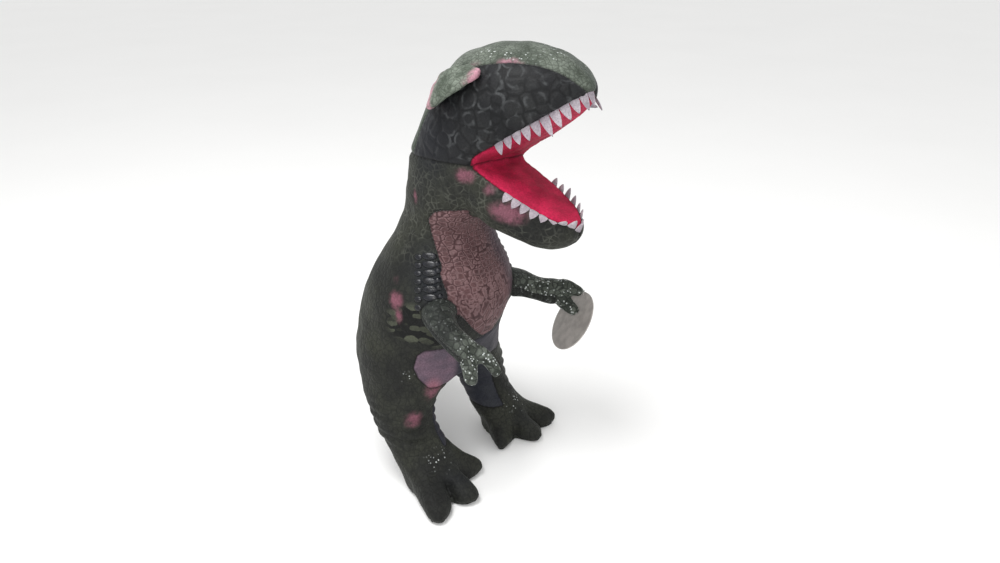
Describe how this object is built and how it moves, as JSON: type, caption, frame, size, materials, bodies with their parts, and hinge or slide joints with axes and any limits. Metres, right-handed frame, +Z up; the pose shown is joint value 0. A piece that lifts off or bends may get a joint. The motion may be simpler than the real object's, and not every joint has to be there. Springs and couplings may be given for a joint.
{
  "type": "stuffed dinosaur",
  "caption": "Standing plush theropod with an open lined mouth, felt teeth, short arms, flat feet, a sideways tail and a round swing tag.",
  "frame": {"origin": "bottom centre of the bounding box, at floor level under the toy", "axes": "+Z up, -Y the way the toy faces, -X its right side"},
  "size_m": [0.3088, 0.3784, 0.487],
  "materials": {
    "polyester_fibre": "white loose polyester fibre filling, out of sight",
    "scale_print_velboa": "short-pile velboa printed with olive green reptile scales, soft sheen",
    "dark_scale_velboa": "short-pile velboa printed with near-black scales, soft sheen",
    "crown_velboa": "pale grey-green velboa with pink blotches and small foil glints",
    "jaw_velboa": "dark olive velboa with pink blotches",
    "arm_velboa": "grey-green velboa with small foil glints",
    "belly_velboa": "mauve-brown velboa printed with pebble scales",
    "inner_thigh_velboa": "dull mauve velboa, short pile",
    "sole_velboa": "dark velboa, flat sole",
    "mouth_velour": "deep red velour, short pile",
    "tooth_felt": "off-white felt, matt",
    "tag_card": "thick grey-white card, plain face",
    "clear_nylon": "clear nylon, glossy"
  },
  "bodies": {
    "trunk": {"belly_panel": "belly_velboa", "front_gusset": "inner_thigh_velboa", "left_flank_panel": "scale_print_velboa", "left_foot_sole": "sole_velboa", "left_foot_stuffing": "polyester_fibre", "left_foot_upper": "scale_print_velboa", "left_inner_leg_panel": "inner_thigh_velboa", "left_leg_stuffing": "polyester_fibre", "left_outer_leg_panel": "scale_print_velboa", "right_flank_panel": "scale_print_velboa", "right_foot_sole": "sole_velboa", "right_foot_stuffing": "polyester_fibre", "right_foot_upper": "scale_print_velboa", "right_inner_leg_panel": "inner_thigh_velboa", "right_leg_stuffing": "polyester_fibre", "right_outer_leg_panel": "scale_print_velboa", "torso_stuffing": "polyester_fibre"},
    "head": {"crown_panel": "crown_velboa", "head_stuffing": "polyester_fibre", "left_brow_flap": "crown_velboa", "left_head_panel": "dark_scale_velboa", "left_neck_panel": "scale_print_velboa", "left_upper_teeth": "tooth_felt", "palate_lining": "mouth_velour", "right_brow_flap": "crown_velboa", "right_head_panel": "dark_scale_velboa", "right_neck_panel": "scale_print_velboa", "right_upper_teeth": "tooth_felt"},
    "jaw": {"jaw_stuffing": "polyester_fibre", "left_jaw_panel": "jaw_velboa", "left_lower_teeth": "tooth_felt", "mouth_floor_lining": "mouth_velour", "right_jaw_panel": "jaw_velboa", "right_lower_teeth": "tooth_felt"},
    "right_arm": {"right_arm_lower_panel": "arm_velboa", "right_arm_stuffing": "polyester_fibre", "right_arm_upper_panel": "arm_velboa", "right_lower_finger": "arm_velboa", "right_upper_finger": "arm_velboa"},
    "left_arm": {"left_arm_lower_panel": "arm_velboa", "left_arm_stuffing": "polyester_fibre", "left_arm_upper_panel": "arm_velboa", "left_lower_finger": "arm_velboa", "left_upper_finger": "arm_velboa", "tag_fastener": "clear_nylon"},
    "tail": {"tail_left_panel": "scale_print_velboa", "tail_right_panel": "scale_print_velboa", "tail_stuffing": "polyester_fibre", "tail_tip": "scale_print_velboa"},
    "tag": {"swing_tag": "tag_card"}
  },
  "joints": [
    {"name": "neck_turn", "type": "hinge", "parent": "trunk", "child": "head", "pos_m": [-0.03327, -0.01721, 0.306], "axis": [0, 0, 1], "range_deg": [-12, 12], "stiffness_Nm_per_rad": 1.5},
    {"name": "jaw_close", "type": "hinge", "parent": "head", "child": "jaw", "pos_m": [-0.03181, -0.08521, 0.37191], "axis": [-0.9925, 0, 0.1219], "range_deg": [0, 30], "stiffness_Nm_per_rad": 1.5},
    {"name": "right_arm_swing", "type": "hinge", "parent": "trunk", "child": "right_arm", "pos_m": [-0.09777, -0.05671, 0.218], "axis": [-0.77, -0.638, 0], "range_deg": [-20, 25], "stiffness_Nm_per_rad": 0.5},
    {"name": "left_arm_swing", "type": "hinge", "parent": "trunk", "child": "left_arm", "pos_m": [0.03123, -0.05671, 0.207], "axis": [0.77, -0.638, 0], "range_deg": [-25, 20], "stiffness_Nm_per_rad": 0.5},
    {"name": "tail_sway", "type": "hinge", "parent": "trunk", "child": "tail", "pos_m": [0.01143, 0.08799, 0.156], "axis": [0, 0, 1], "range_deg": [-4, 8], "stiffness_Nm_per_rad": 1},
    {"name": "tag_swing", "type": "hinge", "parent": "left_arm", "child": "tag", "pos_m": [0.07134, -0.13244, 0.19073], "axis": [-0.6435, 0.5219, 0.56], "range_deg": [-25, 25]}
  ]
}
